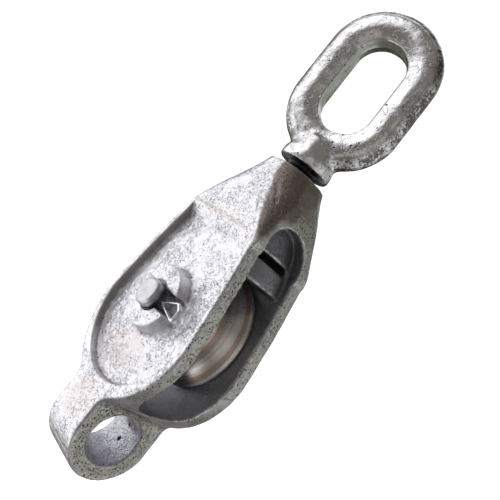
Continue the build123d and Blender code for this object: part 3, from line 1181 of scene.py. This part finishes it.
@dataclass
class Sheave:
    """The wheel, turned from a profile. Its groove, lips and bore are the CAD ones."""

    node: str = "sheave"
    name: str = "turned_sheave"
    finish: CoatedMetal = TURNED_IRON
    groove_depth_mm: float = 11.5
    groove_root_mm: float = 6.8
    lip_mm: float = 2.4
    lip_round_mm: float = 0.8
    bore_radius_mm: float = 8.28
    steps: int = 256
    root_steps: int = 24
    round_steps: int = 6
    side_shares: tuple[float, ...] = (0.25, 0.5, 0.75, 1.0)

    def profile(self, radius: float, half: float) -> list[tuple[float, float]]:
        """Lay out the section: straight flanks that run into a round root, and rounded lips.

        Args:
            radius: The wheel's radius, in metres.
            half: Half its width, in metres.

        Returns:
            Corners as (radius, y), all the way round.
        """
        half_groove = half - self.lip_mm * MM
        root = self.groove_root_mm * MM
        middle = radius - self.groove_depth_mm * MM + root
        rise = radius - middle
        # The root's arc ends on either side where the flank touches it.
        reach = math.pi - math.atan2(half_groove, rise) - math.acos(root / math.hypot(rise, half_groove))
        points = []
        for i in range(self.root_steps + 1):
            angle = reach * (2 * i / self.root_steps - 1)
            points.append((middle - root * math.cos(angle), root * math.sin(angle)))
        points.append((radius, half_groove))
        turn = self.lip_round_mm * MM
        bore = self.bore_radius_mm * MM
        lip = []
        for i in range(self.round_steps + 1):
            angle = math.pi / 2 * i / self.round_steps
            lip.append((radius - turn + turn * math.cos(angle), half - turn + turn * math.sin(angle)))
        fall = bore - radius + turn
        side = lip + [(radius - turn + share * fall, half) for share in self.side_shares]
        points += side
        points += [(r, -y) for r, y in reversed(side)]
        points.append((radius, -half_groove))
        return points

    def make(self, frame: dict, axle_z: float) -> bpy.types.Object:
        """Turn the profile about the axle and dress the wheel.

        Args:
            frame: The loaded frame, which the wheel doesn't use.
            axle_z: The height of the axle, in metres.

        Returns:
            The wheel.
        """
        low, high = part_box(self.node)
        section = self.profile((high.z - low.z) / 2, (high.y - low.y) / 2)
        shape = bmesh.new()
        rings = []
        for i in range(self.steps):
            angle = 2 * math.pi * i / self.steps
            sine, cosine = math.sin(angle), math.cos(angle)
            rings.append([shape.verts.new((r * sine, y, axle_z + r * cosine)) for r, y in section])
        size = len(section)
        for i in range(self.steps):
            here, there = rings[i], rings[(i + 1) % self.steps]
            for j in range(size):
                shape.faces.new((here[j], there[j], there[(j + 1) % size], here[(j + 1) % size]))
        bmesh.ops.recalc_face_normals(shape, faces=shape.faces)
        mesh = bpy.data.meshes.new(self.name)
        shape.to_mesh(mesh)
        shape.free()
        mesh.shade_smooth()
        piece = bpy.data.objects.new(self.name, mesh)
        bpy.context.scene.collection.objects.link(piece)
        piece.data.materials.append(self.finish.build(axle_z))
        return seated(piece, Body.WHEEL, (self.node,))


@dataclass(frozen=True)
class Glow:
    """A side of the surround: where it lies, and the cosines between which it fades."""

    towards: tuple[float, float, float]
    fade_from: float
    full_from: float
    colour: str
    power: float = 1.0


@dataclass(frozen=True)
class Studio:
    """The pale floor, the light all round and the camera at the photograph's view.

    The camera's place, turn and lens are those that fit the photograph's outline and bores.
    """

    camera_place: tuple[float, float, float] = (0.28911, -0.22429, -0.17458)
    camera_turn_deg: tuple[float, float, float] = (97.0004, -37.2139, 41.8735)
    focal_px: float = 626.13
    image_px: float = 500.0
    centre_px: tuple[float, float] = (306.87, 272.09)
    sensor_mm: float = 36.0
    nearest: float = 0.01
    floor_drop: float = 0.12
    floor_size: float = 8.0
    floor_colour: str = "#F6F6F5"
    floor_rough: float = 0.9
    floor_glow: float = 0.75
    surround: str = "#6A655F"
    strength: float = 1.15
    glows: tuple[Glow, ...] = (
        # A broad pale side towards +X and +Y, and a greyer one towards +Y and up.
        Glow((0.75, 0.60, -0.20), 0.55, 0.97, "#DEDEDA"),
        Glow((-0.10, 0.92, 0.38), 0.80, 0.94, "#A9ADA6"),
        # White from below and -Y, under the slotted cheek.
        Glow((-0.15, -0.55, -0.82), 0.78, 0.93, WHITE, 1.1),
        # Grey between +X and -Y, on the camera's side.
        Glow((0.80, -0.58, -0.05), 0.88, 0.97, "#A6A29E"),
        # A dark gap between +Y and -X, and white above it.
        Glow((-0.50, 0.85, 0.00), 0.88, 0.96, "#2A2826"),
        Glow((-0.60, 0.35, 0.70), 0.75, 0.95, WHITE),
        # The brightest sides, towards -Y and -X: above the slotted cheek, level and low.
        Glow((-0.40, -0.78, 0.48), 0.79, 0.92, WHITE, 1.35),
        Glow((-0.83, -0.50, -0.10), 0.72, 0.985, WHITE, 1.42),
        Glow((-0.80, -0.35, -0.48), 0.955, 0.99, WHITE, 1.7),
        # A dark gap towards -X and up.
        Glow((-0.84, 0.45, 0.28), 0.86, 0.95, "#3A3836"),
    )

    def camera(self) -> None:
        """Set the camera. The photograph is cut off centre, so the lens is shifted."""
        data = bpy.data.cameras.new("camera")
        data.sensor_width = self.sensor_mm
        data.lens = self.focal_px / self.image_px * self.sensor_mm
        data.shift_x = (self.image_px / 2 - self.centre_px[0]) / self.image_px
        data.shift_y = (self.centre_px[1] - self.image_px / 2) / self.image_px
        data.clip_start = self.nearest
        camera = bpy.data.objects.new("camera", data)
        camera.location = self.camera_place
        camera.rotation_euler = Euler([math.radians(a) for a in self.camera_turn_deg], "XYZ")
        bpy.context.scene.collection.objects.link(camera)
        bpy.context.scene.camera = camera

    def floor(self, lowest: float) -> None:
        """Lay a plain pale floor below the hanging block. The metal doesn't mirror it.

        Args:
            lowest: The height of the block's lowest point, in metres.
        """
        half = self.floor_size / 2
        mesh = bpy.data.meshes.new("floor")
        corners = [(-half, -half, 0), (half, -half, 0), (half, half, 0), (-half, half, 0)]
        mesh.from_pydata(corners, [], [(0, 1, 2, 3)])
        floor = bpy.data.objects.new("floor", mesh)
        floor.location = (0, 0, lowest - self.floor_drop)
        floor.visible_glossy = False
        bpy.context.scene.collection.objects.link(floor)
        material = bpy.data.materials.new("matt_pale_floor")
        material.use_nodes = True
        shader = material.node_tree.nodes["Principled BSDF"]
        shader.inputs["Base Color"].default_value = linear(self.floor_colour)
        shader.inputs["Roughness"].default_value = self.floor_rough
        shader.inputs["Emission Color"].default_value = linear(WHITE)
        seen = add_node(material.node_tree, "ShaderNodeLightPath", {}, {}).outputs["Is Camera Ray"]
        glow = add_node(material.node_tree, MATH, TIMES, {0: seen, 1: self.floor_glow}).outputs[0]
        material.node_tree.links.new(glow, shader.inputs["Emission Strength"])
        mesh.materials.append(material)
        floor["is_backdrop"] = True

    def light(self) -> None:
        """Light the block by a grey surround with bright and dark sides, which the camera sees white."""
        world = bpy.data.worlds.new("studio")
        bpy.context.scene.world = world
        world.use_nodes = True
        tree = world.node_tree
        around = add_node(tree, "ShaderNodeTexCoord", {}, {}).outputs["Generated"]
        surround: Colour | Socket = linear(self.surround)
        for glow in self.glows:
            sockets = {0: around, 1: tuple(Vector(glow.towards).normalized())}
            side = add_node(tree, VECTOR, {"operation": "DOT_PRODUCT"}, sockets).outputs["Value"]
            limits = {"Value": side, "From Min": glow.fade_from, "From Max": glow.full_from}
            share = add_node(tree, RANGE, SOFT, limits).outputs[0]
            lit = tuple(part * glow.power for part in linear(glow.colour))
            sockets = {SHARE: share, UNDER: surround, OVER: lit}
            surround = add_node(tree, MIX, COLOURS, sockets).outputs[MIXED]
        seen = add_node(tree, "ShaderNodeLightPath", {}, {}).outputs["Is Camera Ray"]
        sockets = {SHARE: seen, UNDER: surround, OVER: linear(WHITE)}
        colour = add_node(tree, MIX, COLOURS, sockets).outputs[MIXED]
        background = tree.nodes["Background"]
        tree.links.new(colour, background.inputs["Color"])
        background.inputs["Strength"].default_value = self.strength
        bpy.context.scene.view_settings.view_transform = "Standard"


def main() -> None:
    """Load the frame, dress every piece, and set the studio."""
    logging.basicConfig(level=logging.INFO, format="%(message)s")
    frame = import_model()
    cad_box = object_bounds()
    axle_z = next(j for j in frame["joints"] if j["name"] == "sheave_spin")["pos_m"][2]
    studio = Studio()
    studio.camera()
    studio.floor(cad_box[0][2])
    studio.light()
    assemblies = [Casting(), ForgedEye(), HeadedPin(), LoopedWire(), RoundNut(), Sheave()]
    for assembly in assemblies:
        piece = assembly.make(frame, axle_z)
        LOG.info("%s: %d faces", piece.name, len(piece.data.polygons))


if __name__ == "__main__":
    main()
